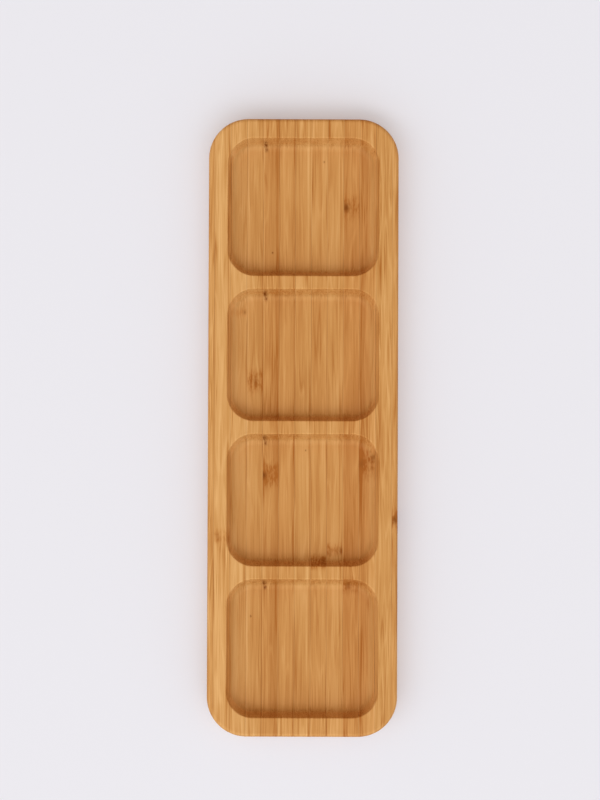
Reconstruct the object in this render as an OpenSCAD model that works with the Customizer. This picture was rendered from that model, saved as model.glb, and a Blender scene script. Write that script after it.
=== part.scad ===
// Long bamboo serving plate with a row of four compartments.
// The board is glued up from strips that stand on edge and run its whole length, cut to a rounded
// outline, and its compartments are routed out of the glued-up board. The origin is at the middle of
// the underside, the strips run along Y, and Z is up.

/* [Board] */
// Length of the board, along the strips
board_l = 390; // [340:1:460]
// Width of the board, across the strips
board_w = 120; // [100:1:150]
// Thickness of the board
board_t = 18; // [15:0.5:24]
// Radius of the board's corners, seen from above
board_corner_r = 25; // [20:0.5:34]
// Radius of the rounded edge round the top face
top_edge_r = 2.5; // [1:0.1:4]
// Radius of the rounded edge round the underside
bottom_edge_r = 2; // [0.5:0.1:4]

/* [Compartments] */
// Number of compartments in the row
pocket_count = 4; // [3:1:5]
// Width of the rim between the compartments and the outside of the board
rim_w = 11.5; // [9:0.5:15]
// Width of the bars between neighbouring compartments
divider_w = 7; // [5:0.1:14]
// Length of each compartment that has neighbours on both sides (the two end ones share the rest)
middle_pocket_l = 84.6; // [70:0.1:95]
// Radius of the compartments' corners, seen from above
pocket_corner_r = 17.5; // [13:0.5:20]
// Depth of the compartments
pocket_depth = 11; // [8:0.5:13]
// Radius of the hollow curve between a compartment's wall and its floor
cove_r = 5.7; // [4:0.1:9]
// Lean of a compartment's wall from the vertical, in degrees
wall_lean = 17; // [4:1:25]
// Radius of the rounded lip round each compartment's mouth
lip_r = 0.8; // [0.3:0.1:1.5]

/* [Strips] */
// Number of whole strips between the two edge strips
whole_strips = 11; // [8:1:15]
// Width of the ripped strip along each long edge of the board
edge_strip_w = 3.9; // [2.5:0.1:9]
// Thickness of the glue line between two strips
glue_t = 0.2; // [0.1:0.05:0.4]

/* [Hidden] */
// Segments in a drawn circle
$fn = 96;
// How far a cutting shape runs past the face that it cuts
overrun = 3;

// Half sizes of the board, from its middle
board_half_x = board_w / 2;
board_half_y = board_l / 2;

// Compartments, numbered from the +Y end of the board to the -Y end
pocket_half_x = board_half_x - rim_w;
last_pocket = pocket_count - 1;
middle_pockets = pocket_count - 2;
end_pocket_l = (board_l - 2 * rim_w - last_pocket * divider_w - middle_pockets * middle_pocket_l) / 2;
function pocket_l(k) = k == 0 || k == last_pocket ? end_pocket_l : middle_pocket_l;
function pocket_head_y(k) = k == 0 ? board_half_y - rim_w
                                   : pocket_head_y(k - 1) - pocket_l(k - 1) - divider_w;
function pocket_middle_y(k) = pocket_head_y(k) - pocket_l(k) / 2;

// Profile of a compartment's wall, as distances inwards from the edge of its mouth (in) and heights.
// The straight wall is tangent to the lip's and the cove's circles, and runs a hair into each. Its
// points lie on a fine grid, so that the straight runs and the corners share them exactly.
wall_hair = 0.002;
wall_grid = 0.001;
function on_grid(length) = round(length / wall_grid) * wall_grid;
floor_z = board_t - pocket_depth;
lip_z = board_t - lip_r;
cove_z = floor_z + cove_r;
cove_in = on_grid((lip_r + cove_r + (lip_z - cove_z) * sin(wall_lean)) / cos(wall_lean));
wall_head_in = on_grid((lip_r - wall_hair) * cos(wall_lean));
wall_head_z = on_grid(lip_z + (lip_r - wall_hair) * sin(wall_lean));
wall_foot_in = on_grid(cove_in - (cove_r - wall_hair) * cos(wall_lean));
wall_foot_z = on_grid(cove_z - (cove_r - wall_hair) * sin(wall_lean));

// Strips: the whole ones are equally wide and fill the board between the two edge strips
strip_pitch = (board_w - 2 * edge_strip_w) / whole_strips;
glue_lines = whole_strips + 1;
function seam_x(k) = -board_half_x + edge_strip_w + (k - 1) * strip_pitch;

// Names of the pieces, numbered from the -X side
function two_digits(k) = str(k < 10 ? "0" : "", k);
function strip_name(k) = str("bamboo_strip_", two_digits(k));
function glue_name(k) = str("glue_line_", two_digits(k));

// Colours of the strips, repeated across the board, and of the glue
edge_colour = "#cf9a5c";
strip_colours = ["#d9a768", "#c99657", "#d3a062", "#c8945a", "#d6a465", "#d8a76a", "#d2a061"];
glue_colour = "#8a5a2c";

// A 2D section and its mirror image, side by side
module both_sides() {
    children();
    mirror([1, 0]) children();
}

// A shape at the board's +Y end, and its mirror image at the other end
module both_ends() {
    children();
    mirror([0, 1, 0]) children();
}

// Whether the stretch from low to high lies in part between two planes across the board
function reaches(low, high, from_x, to_x) = low < to_x && high > from_x;

// Carries a half section round a rectangle with rounded corners, where that comes between two upright
// planes across the board. The child is drawn from the middle line at x = 0 out to x = $reach, with
// its heights along y.
module carried_round(half_x, half_y, corner_r, from_x, to_x) {
    straight_half_x = half_x - corner_r;
    straight_half_y = half_y - corner_r;
    if (reaches(-straight_half_x, straight_half_x, from_x, to_x))
        rotate([90, 0, 90])
            linear_extrude(2 * straight_half_x, center = true)
                both_sides() let ($reach = half_y) children();
    for (flip = [0, 1])
        if (flip ? reaches(-half_x, -straight_half_x, from_x, to_x)
                 : reaches(straight_half_x, half_x, from_x, to_x))
            mirror([flip, 0, 0]) {
                rotate([90, 0, 0])
                    linear_extrude(2 * straight_half_y, center = true)
                        let ($reach = half_x) children();
                both_ends()
                    translate([straight_half_x, straight_half_y, 0])
                        rotate_extrude(angle = 90) let ($reach = corner_r) children();
            }
}

// What rounding a convex corner takes off a section. The corner is at the origin, and the material
// lies towards -X and -Y.
module corner_waste(r) {
    difference() {
        translate([-r, -r]) square([r + overrun, r + overrun]);
        translate([-r, -r]) circle(r);
    }
}

// Half section of the board, with its two outer edges rounded
module board_section() {
    difference() {
        square([$reach, board_t]);
        translate([$reach, board_t]) corner_waste(top_edge_r);
        mirror([0, 1]) translate([$reach, 0]) corner_waste(bottom_edge_r);
    }
}

// Half section of a compartment: floor, hollow cove, leaning wall and rounded lip
module pocket_section() {
    mouth_top = board_t + overrun;
    intersection() {
        translate([0, floor_z]) square([$reach, mouth_top - floor_z]);
        difference() {
            union() {
                polygon([
                    [0, floor_z],
                    [$reach - cove_in, floor_z],
                    [$reach - cove_in, cove_z],
                    [$reach - wall_foot_in, wall_foot_z],
                    [$reach - wall_head_in, wall_head_z],
                    [$reach, board_t],
                    [$reach, mouth_top],
                    [0, mouth_top]
                ]);
                translate([$reach - cove_in, cove_z]) circle(cove_r);
            }
            translate([$reach, lip_z]) circle(lip_r);
        }
    }
}

// What the shaped and routed board holds between two upright planes across its width
module between(from_x, to_x) {
    intersection() {
        difference() {
            carried_round(board_half_x, board_half_y, board_corner_r, from_x, to_x) board_section();
            for (k = [0:last_pocket])
                translate([0, pocket_middle_y(k), 0])
                    carried_round(pocket_half_x, pocket_l(k) / 2, pocket_corner_r, from_x, to_x)
                        pocket_section();
        }
        translate([from_x, -board_half_y - overrun, -overrun])
            cube([to_x - from_x, board_l + 2 * overrun, board_t + 2 * overrun]);
    }
}

// Ripped strip along the -X edge
module left_edge_strip() {
    color(edge_colour) between(-board_half_x - overrun, seam_x(1) - glue_t / 2);
}

// One of the whole strips
module bamboo_strip(k) {
    color(strip_colours[k % len(strip_colours)])
        between(seam_x(k) + glue_t / 2, seam_x(k + 1) - glue_t / 2);
}

// Ripped strip along the +X edge
module right_edge_strip() {
    color(edge_colour) between(seam_x(glue_lines) + glue_t / 2, board_half_x + overrun);
}

// Glue that joins two neighbouring strips over their whole faces
module glue_line(k) {
    color(glue_colour) between(seam_x(k) - glue_t / 2, seam_x(k) + glue_t / 2);
}

left_edge_strip();
for (k = [1:whole_strips]) bamboo_strip(k);
right_edge_strip();
for (k = [1:glue_lines]) glue_line(k);
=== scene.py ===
"""Bamboo serving plate with four compartments: the finish of its strips and glue, and the studio."""

import math
from dataclasses import dataclass

import bpy
from mathutils import Matrix, Vector


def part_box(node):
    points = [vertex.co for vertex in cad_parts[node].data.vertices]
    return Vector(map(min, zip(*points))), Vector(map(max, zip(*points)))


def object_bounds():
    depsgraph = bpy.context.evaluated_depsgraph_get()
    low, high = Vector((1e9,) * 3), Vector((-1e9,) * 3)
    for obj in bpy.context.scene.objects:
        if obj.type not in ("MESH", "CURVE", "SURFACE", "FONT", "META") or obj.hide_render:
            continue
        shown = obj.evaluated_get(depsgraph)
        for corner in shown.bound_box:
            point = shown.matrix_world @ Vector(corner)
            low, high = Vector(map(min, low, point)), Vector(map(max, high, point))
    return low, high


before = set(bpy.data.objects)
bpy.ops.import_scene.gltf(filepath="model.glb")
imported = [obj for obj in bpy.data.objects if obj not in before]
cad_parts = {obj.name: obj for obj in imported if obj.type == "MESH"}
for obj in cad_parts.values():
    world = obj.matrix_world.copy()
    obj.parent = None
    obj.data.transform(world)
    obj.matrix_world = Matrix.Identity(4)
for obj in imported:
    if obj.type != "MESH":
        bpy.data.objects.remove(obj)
cad_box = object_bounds()

MM = 0.001


def srgb(red, green, blue):
    """A colour as it looks on a screen, from 0 to 255, as the linear colour that a shader takes."""
    shares = [part / 255 for part in (red, green, blue)]
    linear = [s / 12.92 if s <= 0.04045 else ((s + 0.055) / 1.055) ** 2.4 for s in shares]
    return (*linear, 1.0)


class Value:
    """A number that changes over a surface. Sums and products of such numbers add Math nodes."""

    def __init__(self, nodes, socket):
        self.nodes = nodes
        self.socket = socket

    def maths(self, operation, first, second=0.0):
        return self.nodes.node("Math", {"operation": operation}, {0: first, 1: second})

    def __add__(self, other):
        return self.maths("ADD", self, other)

    def __radd__(self, other):
        return self.maths("ADD", other, self)

    def __sub__(self, other):
        return self.maths("SUBTRACT", self, other)

    def __rsub__(self, other):
        return self.maths("SUBTRACT", other, self)

    def __mul__(self, other):
        return self.maths("MULTIPLY", self, other)

    def __rmul__(self, other):
        return self.maths("MULTIPLY", other, self)

    def __truediv__(self, other):
        return self.maths("DIVIDE", self, other)

    def __rtruediv__(self, other):
        return self.maths("DIVIDE", other, self)

    def __abs__(self):
        return self.maths("ABSOLUTE", self)

    def or_more(self, other):
        """The larger of two numbers."""
        return self.maths("MAXIMUM", self, other)

    def bell(self):
        """1 where the number is zero, falling smoothly to nothing on both sides."""
        return self.maths("EXPONENT", -1 * self * self)

    def rise(self, low, high):
        """0 up to low, 1 from high on, and a smooth rise between them."""
        settings = {"interpolation_type": "SMOOTHSTEP"}
        return self.nodes.node("MapRange", settings, {"Value": self, "From Min": low, "From Max": high})


class Nodes:
    """The shader nodes of a material or of the world, which is their owner."""

    def __init__(self, owner, output):
        owner.use_nodes = True
        self.owner = owner
        self.tree = owner.node_tree
        self.tree.nodes.clear()
        self.surface = self.tree.nodes.new("ShaderNodeOutput" + output).inputs["Surface"]

    def node(self, kind, settings, sockets, output=0):
        """Adds a node: its settings are set first, then the values or links of its sockets."""
        made = self.tree.nodes.new("ShaderNode" + kind)
        for name, setting in settings.items():
            if name == "stops":
                self.set_stops(made.color_ramp, setting)
            else:
                setattr(made, name, setting)
        for name, source in sockets.items():
            if isinstance(source, Value):
                self.tree.links.new(source.socket, made.inputs[name])
            else:
                made.inputs[name].default_value = source
        return Value(self, made.outputs[output])

    def set_stops(self, ramp, stops):
        """Gives a colour ramp its stops, each a place from 0 to 1 and a colour."""
        while len(ramp.elements) < len(stops):
            ramp.elements.new(1.0)
        for element, (place, colour) in zip(ramp.elements, stops):
            element.position = place
            element.color = colour

    def show(self, shader):
        """Makes a shader the one that is seen."""
        self.tree.links.new(shader.socket, self.surface)

    def place(self):
        """The place on the object, as three values in millimetres."""
        point = self.node("TexCoord", {}, {}, "Object")
        return [self.node("SeparateXYZ", {}, {"Vector": point}, axis) / MM for axis in "XYZ"]

    def facing(self, axis):
        """How squarely the surface faces along an axis, either way: 0 to 1."""
        normal = self.node("NewGeometry", {}, {}, "Normal")
        return abs(self.node("SeparateXYZ", {}, {"Vector": normal}, axis))

    def noise(self, x, y, z, detail=0):
        """Random waves about zero, one unit long, that seldom reach 0.3 either way."""
        point = self.node("CombineXYZ", {}, {"X": x, "Y": y, "Z": z})
        return self.node("TexNoise", {}, {"Vector": point, "Scale": 1.0, "Detail": detail}) - 0.5

    def mix(self, share, first, second, blend="MIX"):
        """Two colours, mixed by a share from 0 to 1."""
        settings = {"data_type": "RGBA", "blend_type": blend, "clamp_factor": True}
        return self.node("Mix", settings, {0: share, 6: first, 7: second}, 2)

    def tint(self, share, colour, tint):
        """A colour, multiplied by a tint where the share is 1 and left alone where it is 0."""
        return self.mix(share, colour, tint, "MULTIPLY")

    def seen_directly(self):
        """1 for rays that show a surface to the camera, also in a reflection or through glass."""
        rays = ("Is Camera Ray", "Is Glossy Ray", "Is Transmission Ray")
        camera, glossy, transmission = (self.node("LightPath", {}, {}, ray) for ray in rays)
        return camera.or_more(glossy).or_more(transmission)


@dataclass
class Knot:
    """Where a joint of the bamboo cane crosses a strip."""

    y: float                # place along the strip, in millimetres from the board's middle
    eye_share: float        # place of its dark eye across the strip, from its -X side
    length: float = 11.0    # how far it reaches along the strip, in millimetres
    depth: float = 0.4      # how dark it is
    eye: float = 0.5        # how dark its eye is
    tail: float = 0.2       # how dark the streak is that runs out of its eye
    eye_size: float = 1.6   # half the width of its eye, in millimetres


@dataclass
class Line:
    """A single fibre band along a whole strip, darker or paler than the rest."""

    share: float            # place across the strip, from its -X side
    depth: float            # how dark it is, or below zero how pale
    width: float = 0.5      # in millimetres


@dataclass
class Speck:
    """A small dark mark left by the cutter or by the cane."""

    y: float                # place along the strip, in millimetres from the board's middle
    share: float            # place across the strip, from its -X side
    size: float = 0.5       # half its width, in millimetres
    depth: float = 0.8      # how dark it is


@dataclass
class StripLook:
    """How one strip differs from the others. Darkness runs from 0, palest, to 1, darkest."""

    darkness: tuple         # at the strip's -X side, in its middle and at its +X side
    blush: float            # share of the redder bamboo colour
    knots: tuple = ()
    lines: tuple = ()
    specks: tuple = ()


# Places along the board where the cutter went in, at the +Y wall of each compartment
CUTTER_STARTS = (182.0, 87.0, -4.5, -96.0)


def burn_marks():
    """Two spots at each of the cutter's starts, where it scorched the fibres."""
    upper = [Speck(start - 2.4, share=0.12, size=1.3, depth=0.95) for start in CUTTER_STARTS]
    lower = [Speck(start - 5.6, share=0.17, size=1.0, depth=0.7) for start in CUTTER_STARTS]
    return (*upper, *lower)


STRIP_LOOKS = {
    "left_edge_strip": StripLook((0.54, 0.47, 0.54), 0.5),
    "bamboo_strip_01": StripLook(
        (0.34, 0.29, 0.48), 0.2,
        knots=(Knot(-69, 0.25, 9, 0.2, 0.2, 0.1),),
        lines=(Line(0.02, 0.3), Line(0.30, -0.15), Line(0.87, 0.3)),
    ),
    "bamboo_strip_02": StripLook(
        (0.32, 0.33, 0.38), 0.1,
        knots=(Knot(73, 0.86, 5, 0.1, 0.5, 0.0, 0.8),),
        lines=(Line(0.05, 0.15), Line(0.97, 0.2)),
    ),
    "bamboo_strip_03": StripLook(
        (0.34, 0.46, 0.57), 0.2,
        knots=(Knot(29, 0.55, 14, 0.3, 0.25, 0.1),),
        lines=(Line(0.06, -0.15), Line(0.97, 0.25)),
        specks=(Speck(-120, 0.30),),
    ),
    "bamboo_strip_04": StripLook(
        (0.50, 0.56, 0.70), 0.5,
        knots=(Knot(-30.5, 0.06, 14, 0.33, 0.9, 0.5),),
        lines=(Line(0.04, -0.2, 0.4), Line(0.13, 0.2, 0.4), Line(0.85, 0.1, 1.2)),
        specks=(*burn_marks(), Speck(111, 0.58)),
    ),
    "bamboo_strip_05": StripLook(
        (0.62, 0.47, 0.66), 0.5,
        lines=(Line(0.30, -0.12, 0.9), Line(0.93, 0.25)),
    ),
    "bamboo_strip_06": StripLook(
        (0.55, 0.48, 0.47), 0.3,
        lines=(Line(0.80, -0.2, 0.7), Line(0.93, 0.3, 0.4)),
        specks=(Speck(-14.6, 0.69, 0.4, 0.6),),
    ),
    "bamboo_strip_07": StripLook(
        (0.50, 0.52, 0.46), 0.4,
        knots=(Knot(-85, 0.85, 8, 0.35, 0.35, 0.0),),
        lines=(Line(0.70, -0.15, 0.7), Line(0.97, 0.25)),
        specks=(Speck(169, 0.77),),
    ),
    "bamboo_strip_08": StripLook(
        (0.50, 0.43, 0.53), 0.4,
        knots=(Knot(-78, 0.95, 8, 0.3, 0.4, 0.1),),
        lines=(Line(0.70, -0.15, 0.7), Line(0.81, 0.25, 0.4), Line(0.95, -0.15, 0.4)),
    ),
    "bamboo_strip_09": StripLook(
        (0.66, 0.57, 0.53), 0.9,
        knots=(Knot(140, 0.15, 14, 0.2, 0.9, 0.25, 1.9), Knot(-100, 0.35, 9, 0.3, 0.45, 0.0)),
        lines=(Line(0.03, -0.2, 0.4),),
    ),
    "bamboo_strip_10": StripLook(
        (0.69, 0.54, 0.37), 0.7,
        knots=(Knot(-23, 0.15, 17, 0.35, 0.35, 0.25, 2.0), Knot(-19, 0.92, 9, 0.1, 0.5, 0.1, 1.4)),
        lines=(Line(0.03, -0.15, 0.4), Line(0.15, 0.15, 0.7)),
    ),
    "bamboo_strip_11": StripLook(
        (0.47, 0.50, 0.46), 0.0,
        lines=(Line(0.15, 0.2, 0.5), Line(0.60, -0.1)),
    ),
    "right_edge_strip": StripLook(
        (0.48, 0.50, 0.56), 0.3,
        knots=(Knot(-58.5, 0.5, 12, 0.6, 0.8, 0.1),),
    ),
}

# Colours of the bamboo, from the palest fibre to the darkest, of its knots, and tints of parts of it
BAMBOO_STOPS = (
    (0.0, srgb(231, 179, 118)),
    (0.5, srgb(208, 150, 87)),
    (1.0, srgb(172, 103, 38)),
)
KNOT_COLOUR = srgb(126, 64, 4)
GOLDEN_TINT = srgb(255, 254, 246)
RUSSET_TINT = srgb(255, 247, 235)
END_GRAIN_TINT = srgb(245, 243, 238)
# Painted shade: a tint that slightly darkens the coves at the foot of the compartments' walls
COVE_PAINTED_SHADE = srgb(244, 244, 243)


@dataclass
class Streaks:
    """A kind of streak in the bamboo, with its usual sizes in millimetres."""

    width: float
    length: float
    depth: float            # how far it goes into the strip
    detail: int = 0         # layers of finer waves on it
    amount: float = 1.0     # how much darker it makes the bamboo, or below zero how much paler


BANDS = Streaks(3.0, 90, 14, 1, amount=0.38)
CLOUDS = Streaks(9.0, 35, 20, amount=0.27)
PATCHES = Streaks(5.0, 45, 12, 1)
FINE_FIBRES = Streaks(0.4, 30, 1.5, 1, amount=0.8)
MIDDLE_FIBRES = Streaks(1.2, 45, 4, 1, amount=0.35)
EDGEWISE_FIBRES = Streaks(1.3, 70, 8, 2, amount=0.9)
DASHES = Streaks(0.5, 9, 1.5, amount=0.08)
DARK_HAIRLINES = Streaks(2.6, 70, 16, amount=0.3)
PALE_HAIRLINES = Streaks(3.4, 55, 16, amount=-0.18)
BLUSHES = Streaks(9.0, 140, 40, 1)
KNOT_FRAYS = Streaks(0.9, 7, 2, 1)
KNOT_MOTTLES = Streaks(1.3, 3.5, 3, 2)
SPECK_FRAYS = Streaks(0.9, 1.5, 1.5)
PORES = Streaks(0.5, 60, 0.7, amount=0.3)

# How thin a hairline is, how far fibres wander, in millimetres along and into the strip, and how
# strongly and how far across the strip they part round a knot
HAIRLINE_SHARPNESS = 22
WANDER_LENGTH = 90
WANDER_DEPTH = 60
KNOT_PARTING = 0.7
KNOT_PARTING_SPREAD = 6

# How far a fibre band goes on along and into the strip before it fades, in millimetres
LINE_LENGTH = 45
LINE_DEPTH = 30

# Height of the board's top face, in millimetres, how much darker the bamboo is painted on all cut faces
# below it as shade in the compartments, and how much weaker its streaks are there
TOP_Z = cad_box[1].z / MM
ROUTED_PAINTED_SHADE = 0.05
ROUTED_BLUR = 0.4

# Gloss of the bamboo, and the height of its raised fibres
BAMBOO_ROUGHNESS = 0.48
BAMBOO_GLOSS = {"IOR": 1.46, "Specular IOR Level": 0.12}
FIBRE_RELIEF = {"Strength": 0.5, "Distance": 0.02 * MM}


class Bamboo(Nodes):
    """The nodes of one strip's bamboo, whose fibres run along Y and part round its knots."""

    def __init__(self, name, look, seed):
        super().__init__(bpy.data.materials.new(name), "Material")
        low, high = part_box(name)
        self.left = low.x / MM
        self.width = (high.x - low.x) / MM
        self.look = look
        self.seed = seed
        self.x, self.y, self.z = self.place()
        self.across = self.x + self.noise(seed, self.y / WANDER_LENGTH, self.z / WANDER_DEPTH)
        for knot in look.knots:
            aside = self.aside(knot.eye_share)
            near = ((self.y - knot.y) / knot.length).bell()
            self.across -= KNOT_PARTING * near * aside / (1 + aside * aside / KNOT_PARTING_SPREAD)
        self.patches = self.fibres(PATCHES).rise(-0.2, 0.2)
        self.fine = (0.5 + self.patches) * self.fibres(FINE_FIBRES)
        self.middle = (0.5 + self.patches) * self.fibres(MIDDLE_FIBRES)
        self.dashes = self.fibres(DASHES).rise(0.12, 0.26)

    def aside(self, share):
        """Distance across the strip from a place on it, in millimetres."""
        return self.x - (self.left + share * self.width)

    def streaks(self, kind, across, along, inwards):
        """Waves of a kind of streak, with the place on the strip in each of its directions."""
        place = (across / kind.width + self.seed, along / kind.length, inwards / kind.depth)
        return self.noise(*place, kind.detail)

    def fibres(self, kind):
        """Streaks along the strip that follow its fibres."""
        return self.streaks(kind, self.across, self.y, self.z)

    def hairlines(self, kind):
        """Thin lines along the strip, each where waves across it pass through zero."""
        return kind.amount * (HAIRLINE_SHARPNESS * self.fibres(kind)).bell()

    def routed(self):
        """1 on all that lies below the board's top face, the faces the cutter left, which are painted a
        little darker as shade.
        """
        return 1 - self.z.rise(TOP_Z - 1.0, TOP_Z)

    def plain_darkness(self):
        """A curve across the strip through its look's three values, with fibres and lines on it."""
        first, centre, last = self.look.darkness
        slope = 4 * centre - 3 * first - last
        curve = 2 * (first - 2 * centre + last)
        share = (self.x - self.left) / self.width
        total = first + share * (slope + curve * share)
        total += BANDS.amount * self.fibres(BANDS) + CLOUDS.amount * self.fibres(CLOUDS)
        streaks = MIDDLE_FIBRES.amount * self.middle + FINE_FIBRES.amount * self.fine
        streaks += DASHES.amount * self.dashes
        streaks += self.patches * self.hairlines(DARK_HAIRLINES) + self.hairlines(PALE_HAIRLINES)
        edgewise = self.streaks(EDGEWISE_FIBRES, self.z, self.y, self.x)
        streaks += EDGEWISE_FIBRES.amount * self.facing("X").rise(0.6, 0.95) * edgewise
        # Painted shade: cut faces below the top face are made a little darker, for the compartments'
        # floors and walls
        total += streaks * (1 - ROUTED_BLUR * self.routed()) + ROUTED_PAINTED_SHADE * self.routed()
        for line in self.look.lines:
            total += self.line_darkness(line)
        return total

    def line_darkness(self, line):
        """How dark one fibre band makes the bamboo."""
        aside = self.across - (self.left + line.share * self.width)
        presence = self.noise(self.seed + 7 * line.share, self.y / LINE_LENGTH, self.z / LINE_DEPTH)
        return line.depth * presence.rise(-0.2, 0.05) * (aside * (1.6 / line.width)).bell()

    def knot_darkness(self):
        """How dark the knots make the bamboo, how dark their eyes are, and where they are."""
        total, eyes, knotty = 0.0, 0.0, 0.0
        ragged = self.fibres(KNOT_FRAYS)
        mottle = self.fibres(KNOT_MOTTLES).rise(-0.15, 0.2)
        for knot in self.look.knots:
            aside = self.aside(knot.eye_share)
            along = (self.y - knot.y) / (knot.length / 2)
            band = 1 - (abs(along) + 1.2 * ragged).rise(0.1, 1.5)
            tail = (aside / 0.6).bell() * (1 - abs(along).rise(0.6, 4.0))
            total += knot.depth * band * (0.4 + 1.2 * mottle) + knot.tail * tail
            eye_along = (self.y - knot.y) / (1.4 * knot.eye_size)
            eyes += knot.eye * (aside / knot.eye_size + ragged).bell() * (eye_along + ragged).bell()
            knotty += band
        return total, eyes, knotty

    def speck_darkness(self):
        """How dark the small marks are, which lie on the upper side of the board alone."""
        total = 0.0
        for speck in self.look.specks:
            aside = self.aside(speck.share) / speck.size
            along = (self.y - speck.y) / (1.3 * speck.size)
            frayed = 1 + 2 * self.fibres(SPECK_FRAYS)
            upper = self.z.rise(0.25 * TOP_Z, 0.33 * TOP_Z)
            total += speck.depth * aside.bell() * along.bell() * frayed * upper
        return total

    def finish(self):
        """Links the colour, gloss and relief of the bamboo to its shader, and returns the material."""
        knots, eyes, knotty = self.knot_darkness()
        end_grain = self.facing("Y").rise(0.45, 0.95)
        pores = self.streaks(PORES, self.x, self.y, self.z).rise(0.06, 0.2)
        darkness = self.plain_darkness() + knots + PORES.amount * end_grain * pores
        colour = self.node("ValToRGB", {"stops": BAMBOO_STOPS}, {"Fac": darkness}, "Color")
        russet = self.look.blush + 0.5 * knotty + self.fibres(BLUSHES)
        colour = self.tint(1.0, colour, self.mix(russet, GOLDEN_TINT, RUSSET_TINT))
        colour = self.mix(eyes + self.speck_darkness(), colour, KNOT_COLOUR)
        colour = self.tint(end_grain, colour, END_GRAIN_TINT)
        # Painted shade: the coves, below the top face and half-way between wall and floor in slope, are
        # tinted a little darker
        cove_shade = self.routed() * (5 * (self.facing("Z") - 0.72)).bell()
        height = self.fine + 0.5 * self.middle - 0.6 * self.dashes
        rougher = 0.16 * self.fine + 0.1 * end_grain + 0.08 * self.dashes
        self.show(self.node("BsdfPrincipled", {}, {
            "Base Color": self.tint(cove_shade, colour, COVE_PAINTED_SHADE),
            "Roughness": BAMBOO_ROUGHNESS + rougher,
            "Normal": self.node("Bump", {}, {**FIBRE_RELIEF, "Height": height}),
            **BAMBOO_GLOSS,
        }))
        return self.owner


# Colours of the glue where it is thick and where it is thin, and its gloss
THICK_GLUE = srgb(146, 88, 36)
THIN_GLUE = srgb(214, 160, 98)
GLUE_ROUGHNESS = 0.4
GLUE_GLOSS = {"IOR": 1.5, "Specular IOR Level": 0.15}


def glue_finish():
    """Clear brown glue that fills the seams, thinner in some places than in others."""
    nodes = Nodes(bpy.data.materials.new("glue"), "Material")
    x, y, z = nodes.place()
    thin = nodes.noise(x / 4, y / 40, z / 6, 1).rise(-0.2, 0.2)
    nodes.show(nodes.node("BsdfPrincipled", {}, {
        "Base Color": nodes.mix(thin, THICK_GLUE, THIN_GLUE),
        "Roughness": GLUE_ROUGHNESS + 0.15 * thin,
        **GLUE_GLOSS,
    }))
    return nodes.owner


# How far apart the strips lie in the random waves
SEED_STEP = 13.7


def dress_board():
    """Gives each strip its own bamboo, and all glue lines the same glue."""
    glue = glue_finish()
    for number, (name, piece) in enumerate(sorted(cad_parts.items())):
        look = STRIP_LOOKS.get(name)
        material = Bamboo(name, look, SEED_STEP * number).finish() if look else glue
        piece.data.materials.clear()
        piece.data.materials.append(material)


def add_object(name, data):
    """Adds an object that holds a mesh, a light or a camera to the scene."""
    made = bpy.data.objects.new(name, data)
    bpy.context.scene.collection.objects.link(made)
    return made


# The studio: a pale floor, a sky that is bright on the near side and dim and warm on the far side,
# one broad soft lamp from the near side, and a weak light from below. Lengths are in metres, and the
# floor's glow grows between two distances from the board's middle, both squared.
FLOOR_HALF = 6.0
FLOOR_GAP = 0.2 * MM
FLOOR_COLOUR = srgb(236, 234, 239)
FLOOR_FINISH = {"Base Color": FLOOR_COLOUR, "Roughness": 0.9, "Specular IOR Level": 0.1}
FLOOR_GLOW_SHARE = 0.28
FLOOR_GLOW_FROM = 0.3
FLOOR_GLOW_FULL = 6.0
SKY_BRIGHT_SIDE = Vector((-0.2, -0.98, 0.0))
SKY_BRIGHT = (1.2, 1.41, 1.6, 1.0)
SKY_DIM = (0.4, 0.19, 0.0, 1.0)
LAMP_DIRECTION = Vector((-0.22, -0.6, 1.0)).normalized()
LAMP_DISTANCE = 5.0
LAMP_WIDTH = 9.0
LAMP_HEIGHT = 1.7
LAMP_WATTS = 85.0
UNDERSIDE_LIGHT = 1.7


def add_floor():
    """A floor that glows a little, so that the board's shadow on it stays light, and wholly far away.

    Seen from below it is clear, so that it doesn't hide the underside of the board.
    """
    mesh = bpy.data.meshes.new("floor")
    corners = [(-1, -1), (1, -1), (1, 1), (-1, 1)]
    points = [(a * FLOOR_HALF, b * FLOOR_HALF, -FLOOR_GAP) for a, b in corners]
    mesh.from_pydata(points, [], [(0, 1, 2, 3)])
    nodes = Nodes(bpy.data.materials.new("floor"), "Material")
    x, y, z = nodes.place()
    square_metres = (x * x + y * y) * (MM * MM)
    far = square_metres.rise(FLOOR_GLOW_FROM, FLOOR_GLOW_FULL)
    glow = FLOOR_GLOW_SHARE + (1 - FLOOR_GLOW_SHARE) * far
    solid = nodes.node("MixShader", {}, {
        0: glow * nodes.seen_directly(),
        1: nodes.node("BsdfPrincipled", {}, FLOOR_FINISH),
        2: nodes.node("Emission", {}, {"Color": FLOOR_COLOUR}),
    })
    nodes.show(nodes.node("MixShader", {}, {
        0: nodes.node("NewGeometry", {}, {}, "Backfacing"),
        1: solid,
        2: nodes.node("BsdfTransparent", {}, {}),
    }))
    mesh.materials.append(nodes.owner)
    add_object("floor", mesh)


def add_sky():
    """A sky that lights the board from its bright side, and that looks like the floor."""
    nodes = Nodes(bpy.data.worlds.new("sky"), "World")
    towards = nodes.node("TexCoord", {}, {}, "Generated")
    settings = {"operation": "DOT_PRODUCT"}
    brightness = nodes.node("VectorMath", settings, {0: towards, 1: SKY_BRIGHT_SIDE}, "Value")
    graded = nodes.node("MixShader", {}, {
        0: 0.5 + 0.5 * brightness,
        1: nodes.node("Background", {}, {"Color": SKY_DIM}),
        2: nodes.node("Background", {}, {"Color": SKY_BRIGHT}),
    })
    nodes.show(nodes.node("MixShader", {}, {
        0: nodes.seen_directly(),
        1: graded,
        2: nodes.node("Background", {}, {"Color": FLOOR_COLOUR}),
    }))
    bpy.context.scene.world = nodes.owner


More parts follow.
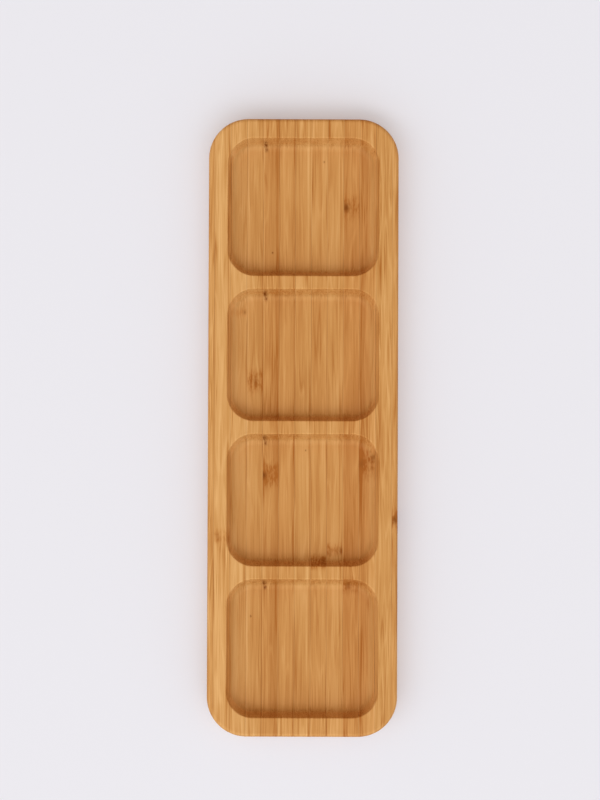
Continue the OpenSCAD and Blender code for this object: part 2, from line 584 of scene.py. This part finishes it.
def add_lamps():
    """The broad lamp, and a light without shadows that shows the underside in views from below."""
    lamp = bpy.data.lights.new("lamp", "AREA")
    lamp.shape = "RECTANGLE"
    lamp.size = LAMP_WIDTH
    lamp.size_y = LAMP_HEIGHT
    lamp.energy = LAMP_WATTS
    lamp_holder = add_object("lamp", lamp)
    lamp_holder.location = LAMP_DIRECTION * LAMP_DISTANCE
    lamp_holder.rotation_euler = LAMP_DIRECTION.to_track_quat("Z", "Y").to_euler()

    below = bpy.data.lights.new("light from below", "SUN")
    below.energy = UNDERSIDE_LIGHT
    below.use_shadow = False
    below.cycles.max_bounces = 0
    add_object("light from below", below).rotation_euler = (math.pi, 0, 0)


# The camera: almost straight above the board. Pixels are counted in the photograph's 600 by 800 frame.
PHOTO_WIDTH = 600
PHOTO_HEIGHT = 800
BOARD_LENGTH_PIXELS = 618.5
BOARD_MIDDLE_PIXEL = (303.0, 427.35)
CAMERA_DISTANCE = 1.3
CAMERA_TILT = math.radians(0.8)
CAMERA_ROLL = math.radians(0.21)
SENSOR_HEIGHT = 36.0


def add_camera():
    """A camera that shows the board as long, and with its middle at the place, as in the photograph."""
    low, high = cad_box
    metres_per_pixel = (high.y - low.y) / BOARD_LENGTH_PIXELS
    aim = Vector((
        (PHOTO_WIDTH / 2 - BOARD_MIDDLE_PIXEL[0]) * metres_per_pixel,
        (BOARD_MIDDLE_PIXEL[1] - PHOTO_HEIGHT / 2) * metres_per_pixel,
        high.z,
    ))
    back = Vector((0, -math.sin(CAMERA_TILT), math.cos(CAMERA_TILT)))
    up_hint = Vector((-math.sin(CAMERA_ROLL), math.cos(CAMERA_ROLL), 0))
    right = up_hint.cross(back).normalized()
    up = back.cross(right)
    data = bpy.data.cameras.new("camera")
    data.sensor_fit = "VERTICAL"
    data.sensor_height = SENSOR_HEIGHT
    data.lens = CAMERA_DISTANCE * SENSOR_HEIGHT / (PHOTO_HEIGHT * metres_per_pixel)
    camera = add_object("camera", data)
    turn = Matrix((right, up, back)).transposed().to_4x4()
    camera.matrix_world = Matrix.Translation(aim + back * CAMERA_DISTANCE) @ turn
    bpy.context.scene.camera = camera


dress_board()
add_floor()
add_sky()
add_lamps()
add_camera()
bpy.context.scene.view_settings.view_transform = "Standard"
